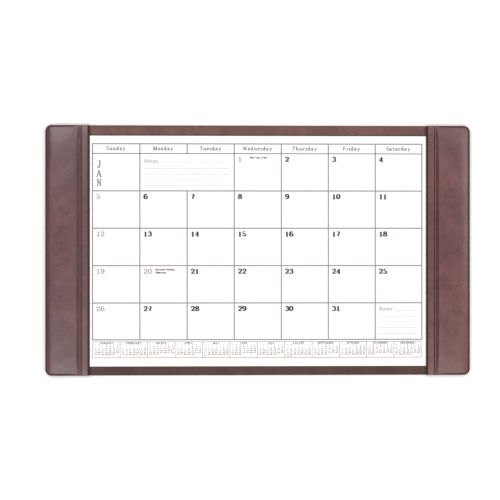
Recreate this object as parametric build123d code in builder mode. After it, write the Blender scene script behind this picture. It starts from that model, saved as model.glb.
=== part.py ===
from build123d import *
import math
import os

# Desk pad calendar: a leather-covered board with a padded rail along each side.
# The inner edge of each rail is a free lip, and a paper calendar is tucked under both lips.
# Millimetres. X runs along the width, Y away from the user, Z up from the desk.
# The origin is the middle of the footprint. "Inward" is the distance from a rail's outer edge.

# Outline of the pad
pad_width = 863.6
pad_depth = 508.0
corner_radius = 12.5

# Thicknesses of the layers
felt_thickness = 0.7
leather_thickness = 0.8
board_thickness = 3.0
lip_stiffener_thickness = 1.0
backing_thickness = 0.9
sheet_thickness = 0.12
glue_thickness = 0.3

# Base: the edges of its leather are turned in below the board and covered by felt
felt_margin = 4.0
base_turn_in = 20.0
base_edge_radius = 2.0
felt_gap = 0.2

# Rails: a spacer strip, a core board, foam padding and a leather cover sewn down at the seam
rail_width = 73.0
rail_turn_in = 12.0
wrap_gap = 0.2
flex_gap = 0.3
ledge_width = 2.7
core_setback = 0.9

# Section of the padding, above the flat ledge at the seam
crown_rise = 5.4
crown_arch = 1.2
slope_width = 11.0
slope_bulge = 1.6
shoulder_width = 8.5
shoulder_bulge = 1.3
side_rise = 0.3

# Distance from a rail's end, and the share of the crown's rise reached there
crown_stations = ((0.0, 0.04), (1.5, 0.30), (4.0, 0.50), (9.0, 0.68), (20.0, 0.86), (45.0, 1.0))

# Seam thread, lying along the ledge
thread_width = 0.6
thread_height = 0.3
thread_end_margin = 6.0

# Lips: the free edges that hold the calendar down
lip_width = 17.0
stiffener_end_gap = 0.2

# Calendar: how far its sides are tucked in, and the strips of base left bare beside it
calendar_tuck = 13.8
calendar_side_gap = 1.5
slot_clearance = 0.36
strip_above = 19.55
strip_below = 18.55
months = (
    "january",
    "february",
    "march",
    "april",
    "may",
    "june",
    "july",
    "august",
    "september",
    "october",
    "november",
    "december",
)

# Heights that follow from the layers
flap_bottom = felt_thickness
board_bottom = flap_bottom + leather_thickness
board_top = board_bottom + board_thickness
base_top = board_top + leather_thickness
stack_thickness = backing_thickness + len(months) * sheet_thickness
lip_bottom = base_top + stack_thickness + slot_clearance
lip_thickness = lip_stiffener_thickness + 2 * leather_thickness
ledge_height = lip_bottom + lip_thickness
core_top = ledge_height - leather_thickness

# Distances inward that follow from the rail and the lip
seam_edge = rail_width - flex_gap
slope_foot = seam_edge - ledge_width
lip_edge = rail_width + lip_width
calendar_edge = lip_edge - calendar_tuck

# The calendar's outline
calendar_width = pad_width - 2 * calendar_edge
calendar_depth = pad_depth - strip_above - strip_below
calendar_middle = (strip_below - strip_above) / 2

os.makedirs("parts", exist_ok=True)


def save(piece, name):
    """Labels a finished piece with its name and writes its STEP file."""
    piece.part.label = name
    export_step(piece.part, f"parts/{name}.step")


def across_rail(sign, y=0.0):
    """The plane that cuts a rail across: its x runs inward from the outer edge, its y is up."""
    return Plane(origin=(sign * pad_width / 2, y, 0), x_dir=(-sign, 0, 0), z_dir=(0, sign, 0))


def rail_strip(sign, bottom, inset, inner):
    """Sketches a rail's plan, inset from the pad's outline, with its two outer corners round."""
    with BuildSketch(Plane.XY.offset(bottom)) as strip:
        with Locations((sign * (pad_width / 2 - (inset + inner) / 2), 0)):
            Rectangle(inner - inset, pad_depth - 2 * inset)
        outer_corners = strip.vertices().sort_by(Axis.X, reverse=sign > 0)[:2]
        if corner_radius > inset:
            fillet(outer_corners, corner_radius - inset)
    return strip.sketch


def bulged_arc(start, end, bulge):
    """Draws an arc whose middle stands out to the right of the line from start to end."""
    run = (end[0] - start[0], end[1] - start[1])
    length = math.hypot(*run)
    middle_x = (start[0] + end[0]) / 2 + bulge * run[1] / length
    middle_y = (start[1] + end[1]) / 2 - bulge * run[0] / length
    ThreePointArc(start, (middle_x, middle_y), end)


def crown_curve(distance, share, skin):
    """Draws the padded top of a section, from the foot of its slope to its outer side.

    distance is measured from the rail's end, share is the part of the rise reached there, and
    skin is the thickness by which the whole form is drawn in. Returns the curve's two ends."""
    radius = corner_radius - skin
    reach = max(radius - distance, 0)
    side = skin + radius - math.sqrt(radius**2 - reach**2)
    low = ledge_height - skin
    shoulder = low + (crown_rise - crown_arch) * share
    foot = (slope_foot - skin / 2, low)
    inner = (foot[0] - slope_width, shoulder)
    outer = (side + shoulder_width - skin / 2, shoulder)
    wall = (side, low + side_rise)
    top = ((inner[0] + outer[0]) / 2, low + crown_rise * share)
    bulged_arc(foot, inner, slope_bulge * share)
    ThreePointArc(inner, top, outer)
    bulged_arc(outer, wall, shoulder_bulge * share)
    return foot, wall


def section_places(sign, skin):
    """The planes of a rail's sections from one end to the other, each with its crown station."""
    half = pad_depth / 2 - skin
    near = [(across_rail(sign, -half + station[0]), station) for station in crown_stations]
    far = [(across_rail(sign, half - station[0]), station) for station in crown_stations]
    return near + far[::-1]


with BuildPart() as base_board:
    with BuildSketch(Plane.XY.offset(board_bottom)):
        RectangleRounded(
            pad_width - 2 * leather_thickness,
            pad_depth - 2 * leather_thickness,
            corner_radius - leather_thickness,
        )
    extrude(amount=board_thickness)
    fillet(base_board.faces().sort_by(Axis.Z)[-1].edges(), base_edge_radius - leather_thickness)
save(base_board, "base_board")

with BuildPart() as base_leather:
    with BuildSketch(Plane.XY.offset(flap_bottom)):
        RectangleRounded(pad_width, pad_depth, corner_radius)
    extrude(amount=base_top - flap_bottom)
    fillet(base_leather.faces().sort_by(Axis.Z)[-1].edges(), base_edge_radius)
    fillet(base_leather.faces().sort_by(Axis.Z)[0].edges(), leather_thickness)
    add(base_board.part, mode=Mode.SUBTRACT)
    with BuildSketch(Plane.XY.offset(flap_bottom)):
        Rectangle(pad_width - 2 * base_turn_in, pad_depth - 2 * base_turn_in)
    extrude(amount=leather_thickness, mode=Mode.SUBTRACT)
save(base_leather, "base_leather")

with BuildPart() as felt_backing:
    with BuildSketch():
        RectangleRounded(
            pad_width - 2 * felt_margin,
            pad_depth - 2 * felt_margin,
            corner_radius - felt_margin,
        )
    extrude(amount=felt_thickness)
    with BuildSketch(Plane.XY.offset(felt_thickness)):
        Rectangle(
            pad_width - 2 * (base_turn_in + felt_gap),
            pad_depth - 2 * (base_turn_in + felt_gap),
        )
    extrude(amount=leather_thickness)
save(felt_backing, "felt_backing")

for rail, sign in (("left", -1), ("right", 1)):
    flap_top = base_top + leather_thickness
    core_inset = leather_thickness + wrap_gap

    # The spacer is stepped round the leather that is turned in below it
    with BuildPart() as spacer:
        add(rail_strip(sign, base_top, rail_turn_in + wrap_gap, calendar_edge - calendar_side_gap))
        extrude(amount=leather_thickness)
        add(rail_strip(sign, flap_top, core_inset, calendar_edge - calendar_side_gap))
        extrude(amount=lip_bottom - flap_top)
    save(spacer, f"{rail}_rail_spacer")

    with BuildPart() as core:
        add(rail_strip(sign, lip_bottom, core_inset, seam_edge - core_setback))
        extrude(amount=core_top - lip_bottom)
    save(core, f"{rail}_rail_core")

    # The foam fills the cover from the core up, and falls away towards both ends
    with BuildPart() as padding:
        for plane, (distance, share) in section_places(sign, leather_thickness):
            with BuildSketch(plane):
                with BuildLine():
                    foot, wall = crown_curve(distance, share, leather_thickness)
                    Polyline(wall, (wall[0], core_top), foot)
                make_face()
        loft(ruled=True)
    save(padding, f"{rail}_rail_padding")

    with BuildPart() as cover:
        for plane, (distance, share) in section_places(sign, 0):
            with BuildSketch(plane):
                with BuildLine():
                    foot, wall = crown_curve(distance, share, 0)
                    bottom_corners = ((wall[0], base_top), (seam_edge, base_top))
                    Polyline(wall, *bottom_corners, (seam_edge, ledge_height), foot)
                make_face()
        loft(ruled=True)
        add(padding.part, mode=Mode.SUBTRACT)
        add(rail_strip(sign, flap_top, leather_thickness, rail_width))
        extrude(amount=core_top - flap_top, mode=Mode.SUBTRACT)
        add(rail_strip(sign, base_top, rail_turn_in, rail_width))
        extrude(amount=leather_thickness, mode=Mode.SUBTRACT)
    save(cover, f"{rail}_rail_leather")

    with BuildPart() as thread:
        with BuildSketch(across_rail(sign)):
            with Locations((seam_edge - ledge_width / 2, ledge_height)):
                Rectangle(thread_width, thread_height, align=(Align.CENTER, Align.MIN))
        extrude(amount=pad_depth / 2 - thread_end_margin, both=True)
    save(thread, f"{rail}_seam_thread")

    # The lip's nose is a half round, and its leather is open at the flex line only
    with BuildPart() as stiffener:
        with BuildSketch(across_rail(sign)):
            with Locations((rail_width, lip_bottom + leather_thickness)):
                Rectangle(
                    lip_width - lip_thickness / 2,
                    lip_stiffener_thickness,
                    align=(Align.MIN, Align.MIN),
                )
        extrude(amount=pad_depth / 2 - leather_thickness - stiffener_end_gap, both=True)
    save(stiffener, f"{rail}_lip_stiffener")

    with BuildPart() as lip:
        with BuildSketch(across_rail(sign)):
            with BuildLine():
                nose_start = lip_edge - lip_thickness / 2
                nose = (lip_edge, lip_bottom + lip_thickness / 2)
                ThreePointArc((nose_start, lip_bottom), nose, (nose_start, ledge_height))
                back_corners = ((rail_width, ledge_height), (rail_width, lip_bottom))
                Polyline((nose_start, ledge_height), *back_corners, (nose_start, lip_bottom))
            make_face()
        extrude(amount=pad_depth / 2, both=True)
        add(stiffener.part, mode=Mode.SUBTRACT)
    save(lip, f"{rail}_lip_leather")

with BuildPart() as backing:
    with BuildSketch(Plane.XY.offset(base_top)):
        with Locations((0, calendar_middle)):
            Rectangle(calendar_width, calendar_depth)
    extrude(amount=backing_thickness)
save(backing, "calendar_backing")

# January lies on top, so the sheets are stacked down from it
for number, month in enumerate(months, start=1):
    sheet_bottom = base_top + stack_thickness - number * sheet_thickness
    with BuildPart() as sheet:
        with BuildSketch(Plane.XY.offset(sheet_bottom)):
            with Locations((0, calendar_middle)):
                Rectangle(calendar_width, calendar_depth)
        extrude(amount=sheet_thickness)
    save(sheet, f"sheet_{number:02d}_{month}")

# A strip of padding glue holds the sheets together along their top edge
with BuildPart() as pad_glue:
    with BuildSketch(Plane.XY.offset(base_top)):
        with Locations((0, pad_depth / 2 - strip_above)):
            Rectangle(calendar_width, glue_thickness, align=(Align.CENTER, Align.MIN))
    extrude(amount=stack_thickness)
save(pad_glue, "pad_glue")
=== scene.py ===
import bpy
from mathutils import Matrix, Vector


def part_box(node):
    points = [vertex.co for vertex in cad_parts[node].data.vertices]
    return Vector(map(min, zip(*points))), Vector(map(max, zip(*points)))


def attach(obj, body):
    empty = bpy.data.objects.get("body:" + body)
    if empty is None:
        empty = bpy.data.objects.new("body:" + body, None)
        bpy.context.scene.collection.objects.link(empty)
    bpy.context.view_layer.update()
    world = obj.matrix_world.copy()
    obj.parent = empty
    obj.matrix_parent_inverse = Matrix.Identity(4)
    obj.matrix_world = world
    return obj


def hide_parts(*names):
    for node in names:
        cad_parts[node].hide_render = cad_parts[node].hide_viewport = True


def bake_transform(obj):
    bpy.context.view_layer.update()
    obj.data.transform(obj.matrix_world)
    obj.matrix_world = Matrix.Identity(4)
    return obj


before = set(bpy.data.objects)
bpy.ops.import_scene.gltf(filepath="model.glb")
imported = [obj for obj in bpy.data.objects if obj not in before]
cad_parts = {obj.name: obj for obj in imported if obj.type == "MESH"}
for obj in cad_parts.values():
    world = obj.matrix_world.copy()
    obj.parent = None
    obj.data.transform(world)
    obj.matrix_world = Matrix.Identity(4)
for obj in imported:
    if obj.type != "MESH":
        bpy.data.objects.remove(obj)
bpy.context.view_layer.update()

import math
import bmesh
import bpy
import numpy as np
from mathutils import Matrix, Vector

# The base is a hardboard slab wrapped in soft, satin, wine-brown leather.
# The hide is drawn round the board's edges and turned in below it, where felt covers it.
# It shows in a strip above and below the calendar and along the pad's sides.
mm = 0.001
base_low, base_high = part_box("base_leather")
pad_width = base_high[0] - base_low[0]
pad_depth = base_high[1] - base_low[1]
corner_radius = 12.5 * mm
leather_thickness = 0.8 * mm
base_turn_in = 20 * mm
base_head_radius = 2.2 * mm
base_foot_radius = 0.9 * mm


def grid_faces(rows, columns, closed=False):
    """Quads between the points of a grid numbered row by row. closed joins the last column to the first."""
    row, column = np.meshgrid(np.arange(rows - 1), np.arange(columns - (not closed)), indexing="ij")
    after = (column + 1) % columns
    below = row + 1
    this_row = (row * columns + column, row * columns + after)
    next_row = (below * columns + after, below * columns + column)
    return np.stack([*this_row, *next_row], -1).reshape(-1, 4)


def new_piece(name, points, faces, material, smooth=True):
    """Makes a mesh of points and quads, welds the points that coincide, and drops faces without area."""
    mesh = bpy.data.meshes.new(name)
    mesh.from_pydata(np.asarray(points).tolist(), [], np.asarray(faces).tolist())
    build = bmesh.new()
    build.from_mesh(mesh)
    bmesh.ops.remove_doubles(build, verts=build.verts, dist=2e-6)
    bmesh.ops.dissolve_degenerate(build, edges=build.edges, dist=1e-7)
    build.to_mesh(mesh)
    build.free()
    if smooth:
        mesh.shade_smooth()
    mesh.materials.append(material)
    piece = bpy.data.objects.new(name, mesh)
    bpy.context.scene.collection.objects.link(piece)
    return piece


def belongs(piece, body, slot, *nodes):
    """The piece moves with a body and stands for the CAD nodes named, which are hidden. The slot is not
    used.
    """
    if nodes:
        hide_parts(*nodes)
    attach(piece, body)


def thicken(piece, thickness):
    """Gives a modelled outer face its wall, which lies inside it."""
    wall = piece.modifiers.new("wall", "SOLIDIFY")
    wall.thickness = thickness
    wall.offset = -1
    wall.use_even_offset = True


def rounded_outline(width, depth, radius, step):
    """Points anticlockwise round a rectangle with round corners, and the direction inwards at each.

    A corner is a quarter circle of twelve steps, and a straight side is divided evenly, at about step."""
    points, inwards = [], []
    x, y = width / 2 - radius, depth / 2 - radius
    centres = np.array([(x, y), (-x, y), (-x, -y), (x, -y)])
    for number, centre in enumerate(centres):
        turn = np.radians(90 * number + np.linspace(0, 90, 13))
        outwards = np.stack([np.cos(turn), np.sin(turn)], -1)
        run = centres[(number + 1) % 4] - centre
        share = np.linspace(0, 1, max(int(np.hypot(*run) / step), 2) + 1)[1:-1, None]
        points += [centre + radius * outwards, centre + radius * outwards[-1] + share * run]
        inwards += [-outwards, np.repeat(-outwards[-1:], len(share), 0)]
    return np.concatenate(points), np.concatenate(inwards)


def towards_middle(ring, share):
    """Moves a ring's points a share of the way to the middle line of the rectangle that it fills."""
    half = np.abs(ring).max(0)
    middle = np.clip(ring, half.min() - half, half - half.min())
    return ring + (middle - ring) * share


def edge_section(low, high, foot_radius, head_radius, steps=6):
    """A wrapped edge from below to the top, as distances inwards and heights, with quarter circles.

    The foot turns from the underside into the wall, and the head from the wall into the top."""
    turn = np.linspace(0, math.pi / 2, steps + 1)
    foot = np.stack([foot_radius * (1 - np.sin(turn)), low + foot_radius * (1 - np.cos(turn))], -1)
    head = np.stack([head_radius * (1 - np.cos(turn)), high - head_radius * (1 - np.sin(turn))], -1)
    return np.concatenate([foot, head])


def drawn_in(outline, inwards, inset):
    """The outline moved inwards. Past its corners' radius, the ring is a rectangle with sharp corners."""
    ring = outline + inwards * min(inset, corner_radius)
    edge = np.abs(outline).max(0) - inset
    return np.clip(ring, -edge, edge)


def slab_rings(outline, inwards, section, shares, height):
    """Rings of points that follow a section round an outline, then close over its flat top."""
    count = len(outline)
    rings = []
    for inset, z in section:
        rings.append(np.column_stack([drawn_in(outline, inwards, inset), np.full(count, z)]))
    rim = rings[-1][:, :2]
    rings += [np.column_stack([towards_middle(rim, share), np.full(count, height)]) for share in shares]
    return np.concatenate(rings), grid_faces(len(rings), len(outline), closed=True)


def empty_material(name):
    """A new material's node adder, its object coordinates and itself.

    The adder takes a node's settings in small letters and its sockets with a capital letter first, each
    as a value or as the output that it is linked to."""
    material = bpy.data.materials.new(name)
    material.use_nodes = True
    tree = material.node_tree
    tree.nodes.clear()

    def add(kind, **values):
        node = tree.nodes.new("ShaderNode" + kind)
        for key, value in values.items():
            if key[0].islower():
                setattr(node, key, value)
            elif isinstance(value, bpy.types.NodeSocket):
                tree.links.new(value, node.inputs[key.replace("_", " ")])
            else:
                node.inputs[key.replace("_", " ")].default_value = value
        return node

    return add, add("TexCoord").outputs["Object"], material


def ramp(add, factor, *stops):
    """A colour ramp driven by factor, of stops that are a place and a colour."""
    node = add("ValToRGB", Fac=factor)
    for number, (place, colour) in enumerate(stops):
        stop = node.color_ramp.elements[number] if number < 2 else node.color_ramp.elements.new(place)
        stop.position = place
        stop.color = (*colour, 1)
    return node.outputs["Color"]


def times(add, first, second):
    """The product of two colours."""
    return add("MixRGB", blend_type="MULTIPLY", Fac=1.0, Color1=first, Color2=second).outputs["Color"]


def bump(add, height, distance, strength, under=None):
    """A bump of a real depth on top of another."""
    node = add("Bump", Height=height, Distance=distance, Strength=strength)
    if under:
        node.id_data.links.new(under, node.inputs["Normal"])
    return node.outputs["Normal"]


def keep_steepness(piece, edge_paint_and_shade=None):
    """Stores how steep a hide lies at each point: one less its normal's height, 0 where it is level.

    An edge, an x in the pad's frame, counts as steep too, less and less over the next 5 mm: it is darkened
    as edge paint and as painted shade."""
    normals, places = np.empty((2, 3 * len(piece.data.vertices)))
    piece.data.vertices.foreach_get("normal", normals)
    piece.data.vertices.foreach_get("co", places)
    steep = 1 - np.clip(normals[2::3], 0, 1)
    if edge_paint_and_shade is not None:
        steep = np.maximum(steep, np.clip(1 - np.abs(places[::3] - edge_paint_and_shade) / (5 * mm), 0, 0.5))
    piece.data.attributes.new("steepness", "FLOAT", "POINT").data.foreach_set("value", steep)


def leather_material(name, dye, smooth, dull, shine, near_painted_shade=1.0):
    """Full-grain leather: clouded dye, small plump grain cells with creases painted dark as shade, a satin
    finish.

    The dye is a colour, smooth and dull are the roughness of its rubbed and its matt patches, and shine is
    how much it mirrors. The last value is a painted shade, which darkens the dye at the pad's near side.
    Painted shade also darkens it where the hide is steep, round an edge or down into a seam. The cells
    are a flat pattern laid on at a slant, so that level and upright faces are both covered without streaks."""
    add, place, material = empty_material(name)
    clouds = add("TexNoise", Vector=place, Scale=17.0, Detail=4.0, Roughness=0.55).outputs["Fac"]
    patches = add("TexNoise", Vector=place, Scale=95.0, Detail=3.0, Roughness=0.6).outputs["Fac"]
    slant = (math.radians(32), math.radians(28), 0.0)
    slanted = add("Mapping", Vector=place, Rotation=slant).outputs["Vector"]
    cells = add(
        "TexVoronoi",
        feature="DISTANCE_TO_EDGE",
        voronoi_dimensions="2D",
        Vector=slanted,
        Scale=880.0,
    ).outputs["Distance"]
    pores = add("TexNoise", Vector=place, Scale=2600.0, Detail=2.0).outputs["Fac"]
    deep, light = (tuple(share * part for part in dye) for share in (0.80, 1.24))
    cloudy = ramp(add, clouds, (0.30, deep), (0.52, dye), (0.74, light))
    rubbed = ramp(add, patches, (0.35, (0.84, 0.84, 0.84)), (0.75, (1.16, 1.14, 1.14)))
    # Painted shade: the creases between the grain cells are darker.
    crease_painted_shade = ramp(add, cells, (0.0, (0.80, 0.78, 0.78)), (0.10, (1.0, 1.0, 1.0)))
    plump = add("MapRange", Value=cells, From_Max=0.22).outputs["Result"]
    steepness = add("Attribute", attribute_name="steepness").outputs["Fac"]
    # Painted shade: the dye darkens where the hide is steep, on its rolls, slopes and seams.
    steep_shade_stops = (0.01, (1.0, 1.0, 1.0)), (0.12, (0.56, 0.30, 0.26)), (0.50, (0.20, 0.14, 0.15))
    steep_painted_shade = ramp(add, steepness, *steep_shade_stops)
    gloss = add("MapRange", Value=patches, To_Min=smooth, To_Max=dull).outputs["Result"]
    gloss = add("MapRange", Value=steepness, From_Max=0.19, To_Min=gloss, To_Max=0.85).outputs["Result"]
    grain = bump(add, plump, 0.12 * mm, 0.16)
    grain = bump(add, pores, 0.06 * mm, 0.08, grain)
    grain = bump(add, patches, 0.8 * mm, 0.22, grain)
    # Painted shade: the dye darkens towards the pad's near side, down to the value given.
    far_near = add("SeparateXYZ", Vector=place).outputs["Y"]
    painted_near_side_shade = ramp(add, add("MapRange", Value=far_near, From_Min=-0.2, From_Max=0.2).outputs["Result"],
                  (0.0, (near_painted_shade,) * 3), (1.0, (1.0, 1.0, 1.0)))
    colour = times(add, times(add, times(add, times(add, cloudy, rubbed), crease_painted_shade), steep_painted_shade), painted_near_side_shade)
    hide = add("BsdfPrincipled", Base_Color=colour, Roughness=gloss, Normal=grain)
    hide.inputs["Specular IOR Level"].default_value = shine
    add("OutputMaterial", Surface=hide.outputs[0])
    return material


# The base is the rails' leather, but its dye is set lighter and browner as painted light.
base_dye_and_painted_light = (0.148, 0.067, 0.056)
base_leather = leather_material("brown_base_leather", base_dye_and_painted_light, 0.45, 0.55, 0.28, near_painted_shade=0.45)
outline, inwards = rounded_outline(pad_width, pad_depth, corner_radius, 6 * mm)
flap = [(inset, base_low[2]) for inset in np.linspace(base_turn_in, 2 * mm, 5)]
wrap = [*flap, *edge_section(base_low[2], base_high[2], base_foot_radius, base_head_radius)]
base = new_piece(
    "base_leather_wrap",
    *slab_rings(outline, inwards, wrap, np.linspace(0.02, 1, 12), base_high[2]),
    base_leather,
)
keep_steepness(base)
thicken(base, leather_thickness)
belongs(base, "pad", "leather", "base_leather")


# The board inside the base is 3 mm hardboard, glued to the hide: pressed brown wood fibre.
# It is hidden, so the modelled board keeps its own shape and gets the look of bare fibre.
def fibre_material(name, dark, light, fleck_scale, fleck_depth):
    """Pressed fibre: short specks of two tones, and a faint rough surface."""
    add, place, material = empty_material(name)
    stretched = add("Mapping", Vector=place, Scale=(1.0, 2.4, 1.6)).outputs["Vector"]
    fibres = add("TexNoise", Vector=stretched, Scale=fleck_scale, Detail=5.0, Roughness=0.7).outputs["Fac"]
    tone = ramp(add, fibres, (0.34, dark), (0.66, light))
    rough = add("MapRange", Value=fibres, To_Min=0.82, To_Max=0.95).outputs["Result"]
    flecks = bump(add, fibres, fleck_depth, 0.4)
    board = add("BsdfPrincipled", Base_Color=tone, Roughness=rough, Normal=flecks)
    add("OutputMaterial", Surface=board.outputs[0])
    return material


def dress(material, *nodes):
    """Gives modelled nodes that keep their shape a material."""
    for node in nodes:
        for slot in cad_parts[node].material_slots:
            slot.material = material


dress(fibre_material("hardboard", (0.10, 0.055, 0.03), (0.22, 0.13, 0.07), 900.0, 0.1 * mm), "base_board")

# The felt under the pad is dark brown wool felt, cut 4 mm inside the edge and glued on.
# It hides the turned-in leather and keeps the pad from scratching or sliding on the desk.
felt_low, felt_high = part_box("felt_backing")
felt_margin = 4 * mm
felt_edge = 0.35 * mm
felt_step = 20.2 * mm
felt_rim = felt_low[2] + 0.7 * mm


def felt_material(name):
    """Matted wool: tangled fibres a third of a millimetre thick, soft and without gloss."""
    add, place, material = empty_material(name)
    fibres = add("TexNoise", Vector=place, Scale=1500.0, Detail=4.0, Roughness=0.8, Distortion=1.6)
    tangle = fibres.outputs["Fac"]
    clumps = add("TexNoise", Vector=place, Scale=140.0, Detail=3.0).outputs["Fac"]
    wool = ramp(add, tangle, (0.30, (0.012, 0.008, 0.008)), (0.72, (0.050, 0.034, 0.032)))
    tuft = ramp(add, clumps, (0.35, (0.82, 0.82, 0.82)), (0.70, (1.15, 1.15, 1.15)))
    nap = bump(add, tangle, 0.3 * mm, 0.7)
    felt = add("BsdfPrincipled", Base_Color=times(add, wool, tuft), Roughness=0.95, Normal=nap)
    felt.inputs["Sheen Weight"].default_value = 0.4
    felt.inputs["Sheen Roughness"].default_value = 0.5
    add("OutputMaterial", Surface=felt.outputs[0])
    return material


felt_width, felt_depth = felt_high[0] - felt_low[0], felt_high[1] - felt_low[1]
outline, inwards = rounded_outline(felt_width, felt_depth, corner_radius - felt_margin, 6 * mm)
below = [(inset, felt_low[2]) for inset in (60 * mm, 20 * mm, 4 * mm)]
rim = edge_section(felt_low[2], felt_rim, felt_edge / 2, felt_edge, steps=3)
step_up = [(felt_step - felt_margin, felt_rim), (felt_step - felt_margin, felt_high[2])]
section = [*below, *rim, *step_up]
points, faces = slab_rings(outline, inwards, section, np.linspace(0.02, 1, 12), felt_high[2])
under, under_faces = slab_rings(outline, inwards, section[:1], np.linspace(0.02, 1, 12), felt_low[2])
felt = new_piece(
    "wool_felt_backing",
    np.concatenate([points, under]),
    np.concatenate([faces, under_faces[:, ::-1] + len(points)]),
    felt_material("dark_wool_felt"),
)
belongs(felt, "pad", "felt", "felt_backing")

# Each rail stands on a greyboard spacer, which leaves the calendar room under the lip. The spacer is dyed
# dark brown, because its edge shows in that slot. The rail's core is greyboard too, glued on the spacer
# under the foam. The leather hides it, so it is left grey.
greyboard = fibre_material("greyboard", (0.17, 0.165, 0.15), (0.34, 0.33, 0.30), 1300.0, 0.06 * mm)
brown_dyes = (0.030, 0.014, 0.012), (0.060, 0.030, 0.025)
dyed_board = fibre_material("dyed_greyboard", *brown_dyes, 1300.0, 0.06 * mm)
dress(greyboard, "left_rail_core", "right_rail_core")
dress(dyed_board, "left_rail_spacer", "right_rail_spacer")

# The padding is soft foam, thickest along the middle of the rail. It falls away over its last
# few centimetres and thins down to nothing at the seam, which gives the rail its pillow shape.
rail_low, rail_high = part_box("left_rail_leather")
lip_low, lip_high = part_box("left_lip_leather")
rail_width = rail_high[0] - rail_low[0]
ledge_width = 2.7 * mm
ledge_height = lip_high[2]
slope_foot = rail_width - ledge_width
slope_runs = {-1: 7.4 * mm, 1: 6.5 * mm}
shoulder_run = 9 * mm
shoulder_drop = 0.7 * mm
outer_shoulder = 19 * mm
outer_shoulder_run = 13 * mm
outer_shoulder_drop = 0.8 * mm
seam_dip = 1.0 * mm
seam_dip_start = rail_width - 1.4 * mm
roll_start = rail_low[2] + 3.0 * mm
side_rolls = {-1: 11 * mm, 1: 7 * mm}
end_roll = 4.5 * mm
crown_middle = 34 * mm
crown_reach = 26 * mm
crown_arch = 0.9 * mm
end_dip, end_dip_reach = 1.9 * mm, 14 * mm
end_fall, end_fall_reach = 1.0 * mm, 60 * mm
short_slope_reach = 18 * mm
pucker_height = 0.16 * mm
crease_height, crease_reach = 0.35 * mm, 12 * mm
row_groove = 0.14 * mm
foam_inset = 1.2 * mm
core_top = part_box("left_rail_core")[1][2]


def rail_edge(inward, along, side_roll):
    """How far a rail's rolled edge has risen, from 0 at the outline to 1 on the crown.

    The distance to the outline, over the roll's width, follows a rounded square of power 1.8. The roll is
    wide along the outer side and narrow at the ends, where it gets tighter still beside the seam. At the
    outer corners it turns from one to the other."""
    end = np.minimum(along, pad_depth - along)
    side_gap, end_gap = corner_radius - inward, corner_radius - end
    corner = (side_gap > 0) & (end_gap > 0)
    distance = np.where(corner, corner_radius - np.hypot(side_gap, end_gap), np.minimum(inward, end))
    bend = side_gap**2 / np.maximum(side_gap**2 + end_gap**2, 1e-12)
    sideways = np.where(corner, bend, inward < end)
    roll = end_roll * np.clip((rail_width - inward) / (16 * mm), 0.24, 1)
    share = np.clip(distance / (roll + (side_roll - roll) * sideways), 0, 1)
    return (1 - (1 - share) ** 1.8) ** (1 / 1.8)


def rail_height(side, inward, along):
    """Height of a rail's leather at a distance inward from its outer side and along from its end.

    The crown is a parabola across, lowered near the ends by two exponentials. The inner slope drops
    from it to the ledge as 1 - x^1.05. A shoulder before it and one beside the outer roll drop by squared
    shares. The slope gets short at the ends, so the crown meets the seam at the corners. Beyond the ledge
    the leather is drawn down into the seam by a squared share. The long soft waves, the small puckers
    beside the seam and the creases fanned round its corners are sines, which fade with exponentials. The
    stitches lie in a shallow groove, a bell curve across."""
    end = np.minimum(along, pad_depth - along)
    crown = rail_high[2] - crown_arch * np.minimum(((inward - crown_middle) / crown_reach) ** 2, 1)
    crown -= end_dip * np.exp(-end / end_dip_reach) + end_fall * np.exp(-end / end_fall_reach)
    run = slope_runs[side] * (1 - 0.8 * np.exp(-end / short_slope_reach))
    down = np.clip((inward - slope_foot + run) / run, 0, 1)
    crown -= shoulder_drop * np.clip((inward - slope_foot + run + shoulder_run) / shoulder_run, 0, 1) ** 2
    crown -= outer_shoulder_drop * np.clip((outer_shoulder - inward) / outer_shoulder_run, 0, 1) ** 2
    waves = 0.13 * mm * np.sin(along / (19 * mm) + 1.7 * np.sin(inward / (15 * mm)))
    waves += 0.09 * mm * np.sin(along / (8.3 * mm) - inward / (11 * mm) + 2 * np.sin(along / (47 * mm)))
    beside_seam = np.exp(-(((inward - slope_foot + 5 * mm) / (4 * mm)) ** 2))
    puckers = pucker_height * np.sin(along / (3.1 * mm) + 2.3 * np.sin(along / (23 * mm)))
    to_corner = np.hypot(slope_foot - inward, end)
    corner_angle = np.arctan2(end, slope_foot - inward + mm)
    creases = crease_height * np.exp(-to_corner / crease_reach) * np.sin(corner_angle * 11)
    top = ledge_height + (crown - ledge_height + waves + creases) * (1 - down**1.05)
    top += puckers * beside_seam * (1 - down)
    top -= row_groove * np.exp(-(((inward - rail_width + ledge_width / 2) / (0.5 * mm)) ** 2))
    top -= seam_dip * (np.maximum(inward - seam_dip_start, 0) / (rail_width - seam_dip_start)) ** 2
    return roll_start + (top - roll_start) * rail_edge(inward, along, side_rolls[side])


def rail_lining(side, inward, along):
    """Height of the inside of a rail's leather, with a tenth of a millimetre to spare below it.

    The thickness and the spare are divided by the slope's cosine, which counts as 0.4 at least."""
    reach = 0.1 * mm
    across = rail_height(side, inward + reach, along) - rail_height(side, inward - reach, along)
    lengthwise = rail_height(side, inward, along + reach) - rail_height(side, inward, along - reach)
    steepness = np.minimum(np.sqrt(1 + (across**2 + lengthwise**2) / (2 * reach) ** 2), 2.5)
    return rail_height(side, inward, along) - (leather_thickness + 0.1 * mm) * steepness


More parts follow.
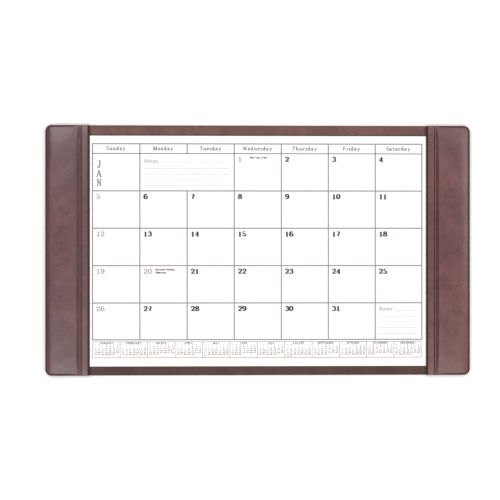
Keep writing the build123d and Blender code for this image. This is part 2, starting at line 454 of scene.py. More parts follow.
def rail_ring(step):
    """Points anticlockwise round a rail's plan, as inward and along, with the inwards direction at each.

    They start at the seam's near corner. The seam side and the outer side have the same middle points,
    so that both meet on the rail's middle line. The second value is where the outer three sides start."""
    middle = rail_width / 2
    shared = np.linspace(middle, pad_depth - middle, int((pad_depth - rail_width) / step))
    seam_end = np.linspace(0, middle, int(middle / step))[:-1]
    side_end = np.linspace(corner_radius, middle, int((middle - corner_radius) / step) + 1)[:-1]
    seam_along = np.concatenate([seam_end, shared, pad_depth - seam_end[::-1]])
    side_along = np.concatenate([side_end, shared, pad_depth - side_end[::-1]])[1:-1]
    across = np.linspace(rail_width, corner_radius, int((rail_width - corner_radius) / step))
    turn = np.radians(np.linspace(90, 180, 15))
    arc = corner_radius * np.column_stack([1 + np.cos(turn), np.sin(turn) - 1])
    far = np.column_stack([across[1:-1], np.full(len(across) - 2, pad_depth)])
    far_corner = arc + (0, pad_depth)
    side = np.column_stack([np.zeros(len(side_along)), side_along])[::-1]
    outer = np.concatenate([far, far_corner, side])
    seam = np.column_stack([np.full(len(seam_along), rail_width), seam_along])
    near = np.concatenate([far, far_corner])[::-1] * (1, -1) + (0, pad_depth)
    ring = np.concatenate([seam, outer, near])
    out = -np.column_stack([np.cos(turn), np.sin(turn)])
    facing = np.concatenate([np.tile((0.0, -1.0), (len(far), 1)), out, np.tile((1.0, 0.0), (len(side), 1))])
    near_facing = np.concatenate([np.tile((0.0, -1.0), (len(far), 1)), out])[::-1] * (1, -1)
    seam_facing = np.tile((-1.0, 0.0), (len(seam), 1))
    return ring, len(seam) - 1, np.concatenate([seam_facing, facing, near_facing])


def place_rail(side, inward, along, height):
    """Puts rail points into the pad's frame, for the left side, -1, or the right, 1."""
    return np.column_stack([side * (pad_width / 2 - inward), along - pad_depth / 2, height])


def rail_cap(ring, insets):
    """Inward and along of rings that close over a rail, each drawn in towards its middle line."""
    middle = np.array([rail_width, pad_depth]) / 2
    return [towards_middle(ring - middle, inset / (rail_width / 2)) + middle for inset in insets]


def foam_material(name):
    """Open-cell foam: round pores a quarter of a millimetre wide, painted dark as shade, in a pale cream
    body.
    """
    add, place, material = empty_material(name)
    pores = add("TexVoronoi", Vector=place, Scale=2400.0, Randomness=1.0).outputs["Distance"]
    # Painted shade: the pores are darker than the foam around them.
    tone = ramp(add, pores, (0.10, (0.34, 0.32, 0.26)), (0.45, (0.70, 0.67, 0.58)))
    foam = add("BsdfPrincipled", Base_Color=tone, Roughness=0.9, Normal=bump(add, pores, 0.2 * mm, 0.6))
    add("OutputMaterial", Surface=foam.outputs[0])
    return material


ring, outer_start, facing = rail_ring(2.4 * mm)
sides = (("left", -1), ("right", 1))
foam = foam_material("cream_foam")
insets = foam_inset + (rail_width / 2 - foam_inset) * np.linspace(0, 1, 22) ** 1.6
for rail, side in sides:
    rings = rail_cap(ring, insets)
    for plan in rings:
        plan[:, 0] = np.minimum(plan[:, 0], slope_foot - foam_inset)
    tops = [np.maximum(rail_lining(side, *plan.T), core_top) for plan in rings]
    floor = [(plan, np.full(len(plan), core_top)) for plan in rings[::-1]]
    layers = [place_rail(side, *plan.T, height) for plan, height in [*floor, *zip(rings, tops)]]
    faces = grid_faces(len(layers), len(ring), closed=True)
    padding = new_piece(f"{rail}_rail_foam", np.concatenate(layers), faces[:, ::-side], foam)
    belongs(padding, "pad", "foam", f"{rail}_rail_padding")

# The rails' covers are the same leather, drawn tight over the foam and sewn down at the seam.
# Each is turned in under its spacer. The outer side is a wide roll, and both ends are tight rolls.
rail_turn_in = 12 * mm
rail_foot_radius = 0.9 * mm
cover_insets = rail_width / 2 * np.concatenate([[0.0, 0.004], np.linspace(0.1, 1, 30) ** 2.0])
# The two rails' dyes differ a little, the left cooler and the right redder, as painted light tone.
rail_dyes_and_painted_light = {-1: (0.120, 0.051, 0.056), 1: (0.126, 0.047, 0.046)}
leathers = {}
for rail, side in sides:
    leathers[side] = leather_material(f"wine_{rail}_leather", rail_dyes_and_painted_light[side], 0.24, 0.33, 0.55)
for rail, side in sides:
    plans = rail_cap(ring, cover_insets)
    cap = [place_rail(side, *plan.T, rail_height(side, *plan.T)) for plan in plans]
    cap_faces = grid_faces(len(cap), len(ring), closed=True)
    path = np.concatenate([ring[outer_start:], ring[:1]])
    path_inwards = np.concatenate([facing[outer_start:], [(0.0, 1.0)]])
    path_inwards[0] = (0.0, -1.0)
    wall = edge_section(rail_low[2], roll_start, rail_foot_radius, 0)[:8]
    wall = [(rail_turn_in, rail_low[2]), (rail_turn_in / 2, rail_low[2]), *wall]
    rows = [place_rail(side, *(path + path_inwards * inset).T, np.full(len(path), z)) for inset, z in wall]
    wall_faces = grid_faces(len(rows), len(path)) + len(cap) * len(ring)
    cover = new_piece(
        f"{rail}_rail_cover",
        np.concatenate([*cap, *rows]),
        np.concatenate([cap_faces, wall_faces])[:, ::-side],
        leathers[side],
    )
    keep_steepness(cover)
    thicken(cover, leather_thickness)
    belongs(cover, "pad", "leather", f"{rail}_rail_leather")

# Each seam is one row of lockstitch in waxed brown thread, half sunk into the ledge.
# A stitch is a short tube that bows up a little and dives into the leather at both ends.
stitch_pitch = 4.0 * mm
stitch_length = 3.3 * mm
thread_radius = 0.28 * mm
stitch_slant = 0.25 * mm
stitch_bow = 0.3 * mm
stitch_sink = 0.27 * mm
seam_margin = 7 * mm


def thread_material(name):
    """Waxed thread: two twisted plies, a touch lighter than the leather."""
    add, place, material = empty_material(name)
    twist = add("Mapping", Vector=place, Rotation=(0.0, 0.0, math.radians(35))).outputs["Vector"]
    plies = add("TexWave", Vector=twist, Scale=700.0, Distortion=0.4).outputs["Fac"]
    tone = ramp(add, plies, (0.1, (0.060, 0.026, 0.024)), (0.8, (0.150, 0.075, 0.068)))
    thread = add("BsdfPrincipled", Base_Color=tone, Roughness=0.5, Normal=bump(add, plies, 0.06 * mm, 0.7))
    add("OutputMaterial", Surface=thread.outputs[0])
    return material


def stitch_row(side):
    """All the stitches of a seam, as one array of tubes with six sides and seven rings.

    The centre line rises as 1 - |t|^4 between its two ends at t = -1 and 1, where it is under the skin."""
    count = int((pad_depth - 2 * seam_margin) / stitch_pitch)
    middle = seam_margin + stitch_pitch * (np.arange(count) + 0.5)
    narrow = np.array([0.5, 0.9, 1, 1, 1, 0.9, 0.5])
    rings, edges = len(narrow), 6
    share = np.linspace(-1, 1, rings)
    around = np.radians(np.arange(edges) * 60)
    shape = np.broadcast_arrays(middle[:, None, None], share[None, :, None], around[None, None, :])
    at, t, turn = (part.reshape(-1) for part in shape)
    radius = np.tile(np.repeat(narrow, edges), count) * thread_radius
    inward = rail_width - ledge_width / 2 + t * stitch_slant + radius * np.cos(turn)
    along = at + t * stitch_length / 2
    height = ledge_height - stitch_sink + stitch_bow * (1 - np.abs(t) ** 4) + radius * np.sin(turn)
    first_end = np.array([[3, 2, 1, 0], [5, 4, 3, 0]])
    last_end = np.array([[0, 1, 2, 3], [0, 3, 4, 5]]) + (rings - 1) * edges
    tube = np.concatenate([grid_faces(rings, edges, closed=True), first_end, last_end])
    faces = tube[None] + rings * edges * np.arange(count)[:, None, None]
    return place_rail(side, inward, along, height), faces.reshape(-1, 4)


thread = thread_material("waxed_brown_thread")
for rail, side in sides:
    points, faces = stitch_row(side)
    row = new_piece(f"{rail}_seam_stitches", points, faces[:, ::side], thread)
    belongs(row, "pad", "thread", f"{rail}_seam_thread")

# A lip is the free inner edge of a rail: leather folded round a thin card, with a half-round nose.
# At the flex line it runs on into the rail's ledge.
flex_line = pad_width / 2 + lip_low[0]
lip_edge = pad_width / 2 + lip_high[0]
lip_low_face, lip_top = lip_low[2], lip_high[2]
nose_radius = (lip_top - lip_low_face) / 2
nose_start = lip_edge - nose_radius
lip_swell = 0.14 * mm
lip_ripple = 0.05 * mm
lip_droop, lip_droop_reach = 0.5 * mm, 16 * mm
bend_end = flex_line + 0.55 * mm
groove_end = flex_line + 1.4 * mm
dress(fibre_material("lip_card", (0.16, 0.13, 0.10), (0.30, 0.26, 0.21), 1300.0, 0.05 * mm),
      "left_lip_stiffener", "right_lip_stiffener")


def lip_sheet(side):
    """The outer face of a lip's leather: its section carried along, pinched to its middle at both ends.

    The section goes down into the seam's groove, over the top, which swells by a sine, round a half
    circle at the nose and back below. Its top droops a little towards both ends, by an exponential, and at
    an end its height is scaled by a quarter circle."""
    top_inward = np.linspace(groove_end, nose_start, 12)
    swell = lip_swell * np.sin(math.pi * (top_inward - groove_end) / (nose_start - groove_end))
    turn = np.radians(np.linspace(90, -90, 13))[1:]
    rise = np.linspace(0, 1, 7)[:-1]
    groove_inward = rail_width + 0.06 * mm + (groove_end - rail_width) * rise
    groove = np.column_stack([groove_inward, lip_top - seam_dip * (1 - rise) ** 2])
    top = np.column_stack([top_inward, lip_top + swell])
    nose_height = lip_top - nose_radius * (1 - np.sin(turn))
    nose = np.column_stack([nose_start + nose_radius * np.cos(turn), nose_height])
    below = np.column_stack([np.linspace(nose_start, bend_end, 12)[1:], np.full(11, lip_low_face)])
    section = np.concatenate([groove, top, nose, below])
    end = nose_radius * (1 - np.cos(np.linspace(0, math.pi / 2, 7)))
    straight = np.linspace(nose_radius, pad_depth - nose_radius, 160)[1:-1]
    along = np.concatenate([end, straight, pad_depth - end[::-1]])
    to_end = np.minimum(along, pad_depth - along)
    pinch = np.sqrt(1 - np.clip(1 - to_end / nose_radius, 0, 1) ** 2)[:, None]
    middle = (lip_top + lip_low_face) / 2
    ripple = lip_ripple * np.sin(along / (13 * mm) + 2 * np.sin(along / (37 * mm)))[:, None]
    ripple -= lip_droop * np.exp(-to_end / lip_droop_reach)[:, None]
    upper = np.maximum(section[:, 1] - middle, 0) / nose_radius
    height = middle + (section[:, 1] - middle + ripple * upper) * pinch
    past_nose = np.maximum(section[:, 0] - nose_start, 0)
    inward = section[:, 0] - past_nose * (1 - pinch)
    run = np.repeat(along[:, None], len(section), 1)
    points = place_rail(side, inward.ravel(), run.ravel(), height.ravel())
    return points, grid_faces(len(along), len(section))


for rail, side in sides:
    points, faces = lip_sheet(side)
    lip = new_piece(f"{rail}_lip_fold", points, faces[:, ::-side], leathers[side])
    # The lip's nose is darkened as edge paint and as painted shade.
    keep_steepness(lip, side * (pad_width / 2 - lip_edge))
    thicken(lip, leather_thickness)
    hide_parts(f"{rail}_lip_leather")
    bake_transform(lip)

# The calendar is a year's pad of twelve sheets of white paper on a chipboard back.
# The sheets are glued along their top edge, and January lies on top.
sheet_nodes = sorted(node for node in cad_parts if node.startswith("sheet_"))


def paper_material(name):
    """Uncoated white paper: very faint clouds in the sheet and a fine tooth."""
    add, place, material = empty_material(name)
    clouds = add("TexNoise", Vector=place, Scale=60.0, Detail=4.0).outputs["Fac"]
    tooth = add("TexNoise", Vector=place, Scale=2200.0, Detail=3.0).outputs["Fac"]
    white = ramp(add, clouds, (0.3, (0.86, 0.86, 0.865)), (0.7, (0.90, 0.90, 0.90)))
    paper = add("BsdfPrincipled", Base_Color=white, Roughness=0.85, Normal=bump(add, tooth, 0.03 * mm, 0.3))
    paper.inputs["Specular IOR Level"].default_value = 0.3
    add("OutputMaterial", Surface=paper.outputs[0])
    return material


def glue_material(name):
    """Padding glue: a brushed, dark brown, half-matt film."""
    add, place, material = empty_material(name)
    strokes = add("Mapping", Vector=place, Scale=(0.2, 1.0, 3.0)).outputs["Vector"]
    streaks = add("TexNoise", Vector=strokes, Scale=900.0, Detail=3.0).outputs["Fac"]
    brown = ramp(add, streaks, (0.3, (0.028, 0.016, 0.014)), (0.7, (0.055, 0.034, 0.030)))
    glue = add("BsdfPrincipled", Base_Color=brown, Roughness=0.4, Normal=bump(add, streaks, 0.05 * mm, 0.5))
    add("OutputMaterial", Surface=glue.outputs[0])
    return material


dress(paper_material("white_paper"), *sheet_nodes)
chipboard = fibre_material("chipboard", (0.20, 0.165, 0.12), (0.40, 0.34, 0.27), 1100.0, 0.08 * mm)
dress(chipboard, "calendar_backing")
dress(glue_material("padding_glue"), "pad_glue")

# January, and February below it, are printed in offset ink: a band of painted shadow along the glued edge,
# a ruled grid of days under the weekdays' names, note rules in the empty days, and a row of small months
# below.
# The lettering is a plain slab-serif, each letter a few strokes of an oval pen in a box one high.
letter_forms = {
    "0": "arc .39 .5 .27 .45 90 450",
    "1": "line .38 .05 .38 .93; hair .38 .93 .16 .80; foot .14 .62 .04",
    "2": "arc .37 .70 .27 .25 165 -30; line .60 .58 .40 .34 .14 .12; bar .10 .68 .06; "
    "hair .68 .05 .68 .26; dot .16 .7 .1",
    "3": "arc .36 .73 .24 .22 150 -80; arc .36 .28 .28 .24 80 -150; dot .18 .77 .09; dot .14 .21 .1",
    "4": "line .52 .95 .52 .05; hair .50 .95 .08 .30; bar .06 .74 .27; foot .32 .72 .04",
    "5": "bar .16 .62 .92; hair .18 .92 .15 .50; arc .36 .30 .28 .26 140 -150; dot .14 .19 .1",
    "6": "arc .41 .5 .30 .45 50 270; arc .40 .31 .27 .27 0 360; dot .62 .78 .09",
    "7": "foot .12 .12 .80; bar .12 .68 .90; line .66 .88 .46 .52 .36 .05",
    "8": "arc .39 .73 .22 .21 0 360; arc .39 .27 .27 .23 0 360",
    "9": "arc .37 .5 .30 .45 90 -130; arc .38 .69 .27 .27 0 360; dot .16 .22 .09",
    "A": "hair .10 .04 .40 .96; line .40 .96 .74 .04; bar .22 .60 .34; foot 0 .24 .04; "
    "foot .58 .90 .04",
    "B": "line .2 .05 .2 .95; arc .38 .73 .24 .22 -90 90; arc .38 .28 .28 .24 -90 90; "
    "foot .06 .38 .95; foot .06 .38 .04",
    "C": "arc .42 .5 .33 .45 45 315; hair .70 .94 .70 .70",
    "D": "line .2 .05 .2 .95; arc .38 .5 .34 .45 -90 90; foot .06 .38 .95; foot .06 .38 .05",
    "E": "line .2 .05 .2 .95; bar .06 .66 .95; bar .2 .52 .5; bar .06 .68 .05; "
    "hair .66 .95 .66 .74; hair .68 .05 .68 .26",
    "F": "line .2 .05 .2 .95; bar .06 .68 .95; bar .2 .5 .5; foot .06 .38 .04; "
    "hair .68 .95 .68 .72; hair .5 .6 .5 .4",
    "G": "arc .42 .5 .33 .45 45 330; line .72 .42 .72 .12; foot .52 .84 .42",
    "H": "line .2 .05 .2 .95; line .68 .05 .68 .95; bar .2 .68 .5; foot .06 .34 .95; "
    "foot .54 .82 .95; foot .06 .34 .04",
    "I": "line .24 .05 .24 .95; foot .08 .40 .95; foot .08 .40 .04",
    "J": "line .44 .95 .44 .26; arc .26 .26 .18 .21 0 -150; foot .26 .62 .95; dot .11 .24 .08",
    "L": "line .2 .05 .2 .95; foot .06 .36 .95; bar .06 .66 .05; hair .66 .05 .66 .28",
    "M": "line .16 .05 .16 .95; line .16 .95 .48 .08; hair .48 .08 .80 .95; line .80 .95 .80 .05; "
    "foot .02 .2 .95; foot .76 .94 .95; foot .02 .28 .04; foot .66 .94 .04",
    "N": "hair .18 .05 .18 .95; line .18 .95 .68 .06; hair .68 .06 .68 .95; foot .02 .22 .95; "
    "foot .54 .82 .95; foot .04 .32 .04",
    "O": "arc .42 .5 .34 .45 0 360",
    "P": "line .2 .05 .2 .95; arc .38 .71 .25 .24 -90 90; bar .06 .38 .95; bar .2 .38 .47; "
    "foot .06 .36 .04",
    "R": "line .2 .05 .2 .95; arc .38 .72 .24 .23 -90 90; bar .06 .38 .95; bar .2 .4 .49; "
    "line .40 .48 .66 .05; foot .06 .34 .04; foot .58 .80 .04",
    "S": "arc .34 .73 .23 .22 40 270; arc .34 .27 .25 .23 90 -140; hair .57 .95 .57 .70; "
    "hair .08 .05 .08 .30",
    "T": "line .40 .05 .40 .95; bar .06 .74 .95; hair .06 .95 .06 .72; hair .74 .95 .74 .72; "
    "foot .26 .54 .04",
    "U": "line .18 .95 .18 .32; arc .43 .32 .25 .28 180 360; hair .68 .32 .68 .95; "
    "foot .04 .32 .95; foot .56 .80 .95",
    "V": "line .10 .95 .38 .05; hair .38 .05 .66 .95; foot 0 .24 .95; foot .54 .78 .95",
    "W": "line .12 .95 .32 .06; hair .32 .06 .52 .88; line .52 .88 .72 .06; hair .72 .06 .92 .95; "
    "foot 0 .26 .95; foot .80 1.04 .95",
    "Y": "line .10 .95 .38 .48; line .38 .48 .38 .05; hair .38 .48 .66 .95; foot 0 .24 .95; "
    "foot .54 .78 .95; foot .24 .52 .04",
    "a": "arc .28 .45 .17 .19 160 0; line .45 .45 .45 .06; arc .27 .2 .18 .17 0 360; "
    "foot .45 .6 .03; dot .13 .5 .07",
    "b": "line .18 .98 .18 .04; arc .40 .33 .21 .30 0 360; foot .04 .18 .97",
    "d": "arc .30 .33 .21 .30 0 360; line .52 .98 .52 .04; foot .38 .52 .97; foot .52 .66 .03",
    "e": "arc .31 .33 .22 .30 0 320; bar .10 .52 .34",
    "h": "line .18 .98 .18 .04; arc .35 .44 .17 .19 180 0; line .52 .44 .52 .04; foot .04 .18 .97; "
    "foot .06 .30 .03; foot .42 .66 .03",
    "i": "line .2 .63 .2 .04; dot .2 .88 .09; foot .06 .2 .63; foot .06 .34 .03",
    "l": "line .2 .98 .2 .04; foot .06 .2 .97; foot .06 .34 .03",
    "n": "line .18 .63 .18 .04; arc .35 .44 .17 .19 180 0; line .52 .44 .52 .04; foot .04 .18 .63; "
    "foot .06 .30 .03; foot .42 .66 .03",
    "o": "arc .31 .33 .22 .30 0 360",
    "r": "line .18 .63 .18 .04; arc .36 .44 .17 .18 180 50; dot .47 .55 .08; foot .04 .18 .63; "
    "foot .06 .34 .03",
    "s": "arc .26 .48 .16 .15 30 260; arc .26 .18 .18 .15 80 -150; hair .42 .64 .42 .46; "
    "hair .08 .03 .08 .20",
    "t": "line .22 .86 .22 .20; arc .37 .20 .15 .17 180 320; bar .06 .46 .63",
    "u": "line .18 .63 .18 .24; arc .35 .24 .17 .20 180 360; line .52 .63 .52 .04; "
    "foot .04 .18 .63; foot .38 .52 .63; foot .52 .66 .03",
    "v": "line .12 .63 .33 .04; hair .33 .04 .54 .63; foot .02 .24 .63; foot .44 .64 .63",
    "w": "line .12 .63 .27 .04; hair .27 .04 .43 .6; line .43 .6 .58 .04; hair .58 .04 .74 .63; "
    "foot .02 .22 .63; foot .64 .84 .63",
    "y": "line .12 .63 .35 .04; hair .58 .63 .35 .04 .24 -.2; foot .02 .24 .63; foot .46 .68 .63; "
    "dot .15 -.21 .08",
    ":": "dot .18 .12 .09; dot .18 .54 .09",
    "'": "line .15 .98 .13 .72",
    " ": "hair .05 .3 .29 .3",
}
ink_rise = 0.012 * mm
ink_depth = 0.012 * mm
ink_step = 0.002 * mm


def strokes_of(letter):
    """A letter's strokes, each as a kind and its numbers."""
    words = [stroke.split() for stroke in letter_forms[letter].split(";")]
    return [(kind, [float(number) for number in numbers]) for kind, *numbers in words]


def stroke_path(kind, numbers, arc_step):
    """The middle line of a stroke: an oval arc, a dot's upright diameter, a level bar or a run of points.

    An arc's numbers are its middle, its two half axes and the angles where it starts and ends."""
    if kind == "arc":
        x, y, across, up, start, end = numbers
        turn = np.radians(np.linspace(start, end, max(round(abs(end - start) / arc_step), 2) + 1))
        return np.column_stack([x + across * np.cos(turn), y + up * np.sin(turn)])
    if kind == "dot":
        x, y, radius = numbers
        turn = np.radians(np.linspace(-90, 90, max(round(180 / arc_step), 2) + 1))
        return np.column_stack([np.full(len(turn), x), y + radius * np.sin(turn)])
    if kind in ("bar", "foot"):
        start, end, y = numbers
        return np.array([(start, y), (end, y)])
    return np.reshape(numbers, (-1, 2))


def stroke_edges(path, kind, thick, thin):
    """Both edges of a stroke drawn with an upright oval pen, thick across and thin up and down.

    Along a normal n, an oval of half axes a and b reaches (a^2 nx, b^2 ny) over the length of (a nx, b ny).
    Hairs, bars and feet have a round thin pen. A dot is as wide as its circle at each height."""
    if kind == "dot":
        radius = np.ptp(path[:, 1]) / 2
        up = path[:, 1] - path[:, 1].mean()
        width = np.sqrt(np.maximum(radius**2 - up**2, 0.0004))[:, None]
        return path - width * (1, 0), path + width * (1, 0)
    ahead = np.gradient(path, axis=0)
    if np.allclose(path[0], path[-1]):
        ahead[[0, -1]] = path[1] - path[-2]
    across = np.column_stack([-ahead[:, 1], ahead[:, 0]])
    pen = np.array([thick if kind in ("line", "arc") else thin, thin])
    reach = across * pen**2 / np.hypot(*(across * pen).T)[:, None]
    return path + reach, path - reach


def ink_bar(left, right, top):
    """Points and faces of a closed thin bar between two edges, partly above the paper and partly in it."""
    corners = np.stack([left, right, right, left], 1)
    low = top - ink_rise - ink_depth
    heights = np.broadcast_to(np.array([top, top, low, low])[:, None], (len(left), 4, 1))
    faces = grid_faces(len(left), 4, closed=True)
    if not np.allclose(left[0], left[-1]):
        faces = np.concatenate([faces, [[3, 2, 1, 0], 4 * (len(left) - 1) + np.arange(4)]])
    return np.concatenate([corners, heights], -1).reshape(-1, 3), faces


def letter_width(letter):
    """A letter's width in its box: as far as its strokes reach, and as much again as lies before them."""
    reach = np.concatenate([stroke_path(*stroke, 30)[:, 0] for stroke in strokes_of(letter)])
    return reach.max() + max(reach.min(), 0.06)


def write(ink, text, place, height, pen, tracking=0.0, stretch=1.0, arc_step=20, feet=True, centred=False):
    """Adds a line of text to a list of ink bars, with its baseline's left end or middle at a place.

    The pen is its oval's half axes, and tracking the space after each letter, in shares of the height.
    Stretch widens the letters, and arcs are drawn in steps of so many degrees."""
    widths = [(letter_width(letter) + tracking) * stretch * height for letter in text]
    left = place[0] - (sum(widths) / 2 if centred else 0)
    for letter, width in zip(text, widths):
        for number, (kind, numbers) in enumerate(strokes_of(letter)):
            if letter == " " or (kind == "foot" and not feet):
                continue
            edges = stroke_edges(stroke_path(kind, numbers, arc_step), kind, *pen)
            edges = [edge * (stretch * height, height) + (left, place[1]) for edge in edges]
            ink.append(ink_bar(*edges, place[2] + ink_rise + ink_step * number))
        left += width


def rule(ink, start, end, width, height):
    """Adds a ruled line to a list of ink bars."""
    path = np.array([start, end])
    ahead = (path[1] - path[0]) / np.hypot(*(path[1] - path[0]))
    aside = np.array([-ahead[1], ahead[0]]) * width / 2
    ink.append(ink_bar(path + aside, path - aside, height))


def ink_material(name, tone):
    """Offset ink of a colour on uncoated paper: faintly uneven cover and a dull surface."""
    add, place, material = empty_material(name)
    cover = add("TexNoise", Vector=place, Scale=3000.0, Detail=2.0).outputs["Fac"]
    thin, full = (tuple(share * part for part in tone) for share in (1.15, 0.85))
    shade = ramp(add, cover, (0.3, full), (0.7, thin))
    dull = add("MapRange", Value=cover, To_Min=0.50, To_Max=0.70).outputs["Result"]
    ink = add("BsdfPrincipled", Base_Color=shade, Roughness=dull)
    add("OutputMaterial", Surface=ink.outputs[0])
    return material


weekdays = ("Sunday", "Monday", "Tuesday", "Wednesday", "Thursday", "Friday", "Saturday")
months = ("JANUARY", "FEBRUARY", "MARCH", "APRIL", "MAY", "JUNE",
          "JULY", "AUGUST", "SEPTEMBER", "OCTOBER", "NOVEMBER", "DECEMBER")
month_days = (31, 29, 31, 30, 31, 30, 31, 31, 30, 31, 30, 31)
first_weekday = 3
observed = ("National Holiday", "Observed")
holidays = ({1: ("New Year's Day",), 20: observed}, {17: observed})
tones = {"black": (0.010,) * 3, "grey": (0.10,) * 3, "pale": (0.24,) * 3, "brown": (0.032, 0.018, 0.016)}
inks = {name: ink_material(f"{name}_ink", tone) for name, tone in tones.items()}
bold_pen, heading_pen, month_pen = (0.168, 0.085), (0.107, 0.062), (0.128, 0.082)
light_pen, notes_pen, fine_pen = (0.10, 0.062), (0.084, 0.056), (0.14, 0.12)
column_lines = (-336.45 + 95.81 * np.arange(8)) * mm
column_lines[7] -= 0.6 * mm
row_lines = (197.3 - 75.9 * np.arange(6)) * mm
row_lines[5] += 1.3 * mm
heading_line = 217.0 * mm
grid_rule, heading_rule, strip_rule, note_rule = 2.5 * mm, 1.8 * mm, 1.0 * mm, 0.6 * mm
painted_shadow_band = 1.75 * mm
date_height, heading_height, month_height, notes_height = 10.3 * mm, 8.2 * mm, 15.0 * mm, 7.6 * mm
heading_rise = 6.4 * mm
month_inset, month_drop, month_pitch = 13.6 * mm, 29.4 * mm, 18.6 * mm
date_inset, date_drop = 7.4 * mm, 6.3 * mm
holiday_inset, holiday_drop, holiday_pitch, holiday_height = 24 * mm, 3.6 * mm, 6.2 * mm, 4.2 * mm
first_notes_inset, first_notes_end, first_notes_drop = 8.5 * mm, 8.9 * mm, 19 * mm
last_notes_inset, last_notes_end, last_notes_drop = date_inset, 11.3 * mm, 15.9 * mm
note_pitch, note_word_width = 11.6 * mm, 33 * mm
strip_top, strip_bottom = -185.2 * mm, -217.4 * mm
strip_cell = 55.74 * mm
strip_day_inset, strip_day_pitch, strip_week_pitch = 5.7 * mm, 7.46 * mm, 3.9 * mm
strip_name_drop, strip_initial_drop, strip_day_drop = 4.5 * mm, 7.4 * mm, 11.2 * mm
strip_name_height, strip_initial_height, strip_day_height = 3.5 * mm, 1.9 * mm, 2.5 * mm


def first_day(month):
    """The weekday of a month's first day, counted from Sunday."""
    return (first_weekday + sum(month_days[:month])) % 7


def note_block(prints, left, right, row_line, drop, height):
    """Five fine rules across empty days, the first of them after the word Notes."""
    for number in range(5):
        level = row_line - drop - note_pitch * number
        start = left + (0 if number else note_word_width)
        rule(prints["pale"], (start, level), (right, level), note_rule, height + ink_rise)
    write(prints["pale"], "Notes:", (left, row_line - drop, height), notes_height, notes_pen, 0.02, 1.1)


def small_month(prints, month, left, height):
    """A month of the year's strip: its name, the weekdays' initials and its days."""
    plain = {"arc_step": 45, "feet": False, "centred": True}
    place = (left + strip_cell / 2, strip_top - strip_name_drop, height)
    write(prints["grey"], months[month], place, strip_name_height, fine_pen, 0.10, 1.2, **plain)
    day_places = left + strip_day_inset + strip_day_pitch * np.arange(7)
    for x, name in zip(day_places, weekdays):
        place = (x, strip_top - strip_initial_drop, height)
        write(prints["grey"], name[0], place, strip_initial_height, fine_pen, 0, 1.2, **plain)
    for day in range(1, month_days[month] + 1):
        week, weekday = divmod(first_day(month) + day - 1, 7)
        place = (day_places[weekday], strip_top - strip_day_drop - strip_week_pitch * week, height)
        tone = "grey" if weekday else "pale"
        write(prints[tone], str(day), place, strip_day_height, fine_pen, 0.06, 1.4, **plain)


def print_sheet(month, node, body):
    """Prints a month: a painted shadow at the sheet's glued edge, lines, headings, dates, notes and the
    year's strip.

    Each ink's bars are joined into one thin piece."""
    low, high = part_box(node)
    height = high[2]
    middle = (np.array(low[:2]) + np.array(high[:2])) / 2
    prints = {name: [] for name in inks}
    first = first_day(month)
    grey, pale = prints["grey"], prints["pale"]
    side, edge = (high[0] - low[0]) / 2, (high[1] - low[1] - painted_shadow_band) / 2
    # Painted shadow: a dark brown band along the sheet's glued top edge.
    rule(prints["brown"], (-side, edge), (side, edge), painted_shadow_band, height + ink_rise)
    for number, x in enumerate(column_lines):
        top = row_lines[1] if 2 <= number < first else heading_line
        rule(pale, (x, row_lines[5]), (x, top), grid_rule, height + ink_rise)
        if top < heading_line:
            rule(pale, (x, row_lines[0]), (x, heading_line), grid_rule, height + ink_rise)
    ends = column_lines[[0, 7]] + np.array([-0.5, 0.5]) * grid_rule
    for y in (heading_line, *row_lines[1:]):
        rule(pale, (ends[0], y), (ends[1], y), grid_rule, height + ink_rise + ink_step)
    level = row_lines[0]
    rule(grey, (ends[0], level), (ends[1], level), heading_rule, height + ink_rise + 2 * ink_step)
    for number, name in enumerate(weekdays):
        place = (column_lines[number : number + 2].mean(), row_lines[0] + heading_rise, height)
        write(grey, name, place, heading_height, heading_pen, 0.10, centred=True)
    for number, letter in enumerate(months[month][:3]):
        place = (column_lines[0] + month_inset, row_lines[0] - month_drop - month_pitch * number, height)
        write(pale, letter, place, month_height, month_pen, 0, 0.82, centred=True)
    left, right = column_lines[1] + first_notes_inset, column_lines[first] - first_notes_end
    note_block(prints, left, right, row_lines[0], first_notes_drop, height)
    last = (first + month_days[month]) % 7
    if last:
        left, right = column_lines[last] + last_notes_inset, column_lines[7] - last_notes_end
        note_block(prints, left, right, row_lines[4], last_notes_drop, height)
    for day in range(1, month_days[month] + 1):
        week, weekday = divmod(first + day - 1, 7)
        left, top = column_lines[weekday] + date_inset, row_lines[week] - date_drop
        light = weekday == 0 or day in holidays[month]
        tone, pen = ("pale", light_pen) if light else ("black", bold_pen)
        write(prints[tone], str(day), (left, top - date_height, height), date_height, pen, 0.02, 1.06)
        for line, words in enumerate(holidays[month].get(day, ())):
            place = (left + holiday_inset, top - holiday_drop - holiday_pitch * line, height)
            write(prints["black"], words, place, holiday_height, fine_pen, 0.02, 0.95, 30, feet=False)
    for number in range(12):
        small_month(prints, number, column_lines[0] + strip_cell * number, height)
    for number in range(13):
        x = column_lines[0] + strip_cell * number
        rule(grey, (x, strip_bottom), (x, strip_top), strip_rule, height + ink_rise)
    strip_right = column_lines[0] + 12 * strip_cell
    for y in (strip_bottom, strip_top):
        rule(grey, (column_lines[0], y), (strip_right, y), strip_rule, height + ink_rise + ink_step)
    for name, bars in prints.items():
        starts = np.cumsum([0] + [len(corners) for corners, faces in bars])
        points = np.concatenate([corners for corners, faces in bars]) + (*middle, 0)
        faces = np.concatenate([bar[1] + start for start, bar in zip(starts, bars)])
        piece = new_piece(f"{months[month].lower()}_{name}_print", points, faces, inks[name], smooth=False)
        belongs(piece, body, "paper")


print_sheet(0, "sheet_01_january", "january_sheet")
print_sheet(1, "sheet_02_february", "calendar")

# The pad lies on a plain pale floor in a pale room that lights it softly from all round.
# Three soft boxes hang over its far side, three over its near side and a narrow one to its right.
# The satin leather mirrors them at both ends of each rail, and the gap between them along its middle.
floor_reach = 60.0


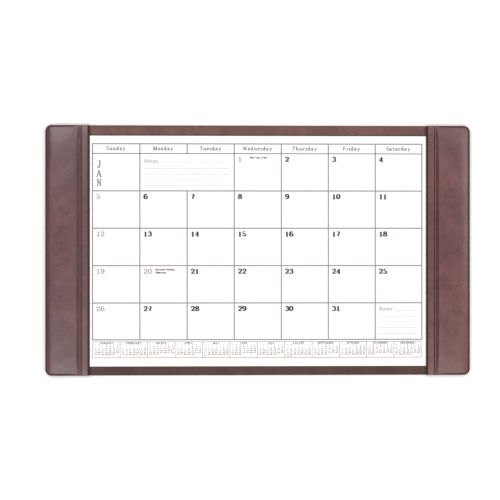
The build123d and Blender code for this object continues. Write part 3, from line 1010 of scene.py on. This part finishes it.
def floor_material(name):
    """A matt near-white surface with very faint clouds."""
    add, place, material = empty_material(name)
    clouds = add("TexNoise", Vector=place, Scale=4.0, Detail=3.0).outputs["Fac"]
    white = ramp(add, clouds, (0.3, (0.90, 0.90, 0.90)), (0.7, (0.93, 0.93, 0.93)))
    floor = add("BsdfPrincipled", Base_Color=white, Roughness=0.9)
    add("OutputMaterial", Surface=floor.outputs[0])
    return material


corners = floor_reach / 2 * np.array([(-1, -1, 0), (1, -1, 0), (1, 1, 0), (-1, 1, 0)])
floor = new_piece("studio_floor", corners, [(0, 1, 2, 3)], floor_material("matt_white_floor"), smooth=False)

room = bpy.data.worlds.new("pale_room")
room.use_nodes = True
room.node_tree.nodes["Background"].inputs["Color"].default_value = (1.0, 0.985, 0.98, 1.0)
room.node_tree.nodes["Background"].inputs["Strength"].default_value = 0.34
bpy.context.scene.world = room


def aim(thing, place, target):
    """Puts a light or camera at a place, looking at a target, with the pad's far side up in its view."""
    ahead = (Vector(target) - Vector(place)).normalized()
    right = ahead.cross(Vector((0, 1, 0))).normalized()
    turned = Matrix((right, right.cross(ahead), -ahead)).transposed()
    thing.matrix_world = Matrix.Translation(place) @ turned.to_4x4()
    bpy.context.scene.collection.objects.link(thing)


def soft_light(name, place, target, size, power, colour):
    """A rectangular soft box of the studio."""
    light = bpy.data.lights.new(name, "AREA")
    light.shape = "RECTANGLE"
    light.size, light.size_y = size
    light.energy = power
    light.color = colour
    aim(bpy.data.objects.new(name, light), place, target)


far_boxes = (("far_left", -0.95, 15.5), ("far_middle", 0.0, 7), ("far_right", 1.0, 6))
near_boxes = (("near_left", -1.0, 12.5), ("near_middle", 0.0, 11), ("near_right", 1.1, 10))
cool, warm, pink = (1.0, 0.985, 0.98), (1.0, 0.88, 0.80), (1.0, 0.90, 0.90)
for name, x, power in far_boxes:
    colour = pink if x > 0 else cool
    soft_light(f"{name}_soft_box", (x, 1.0, 2.2), (0.3 * x, 0.1, 0), (0.9, 1.0), power, colour)
for name, x, power in near_boxes:
    colour = warm if x > 0 else cool
    soft_light(f"{name}_soft_box", (x, -0.95, 2.2), (0.3 * x, -0.1, 0), (0.9, 1.0), power, colour)
soft_light("right_soft_box", (1.75, 0.45, 2.1), (0.2, 0, 0), (0.6, 1.1), 12, (1.0, 0.94, 1.0))

# The camera looks almost straight down from above the pad, from a little to the left of its middle.
camera_place = (-0.0626, 0.0008, 2.2)
camera_target = (-0.0169, 0.0008, 0.0)
lens = bpy.data.cameras.new("view_from_above")
lens.sensor_width = 36
lens.lens = 77.62
camera = bpy.data.objects.new("view_from_above", lens)
aim(camera, camera_place, camera_target)
bpy.context.scene.camera = camera
bpy.context.scene.view_settings.view_transform = "Standard"
bpy.context.scene.view_settings.look = "None"
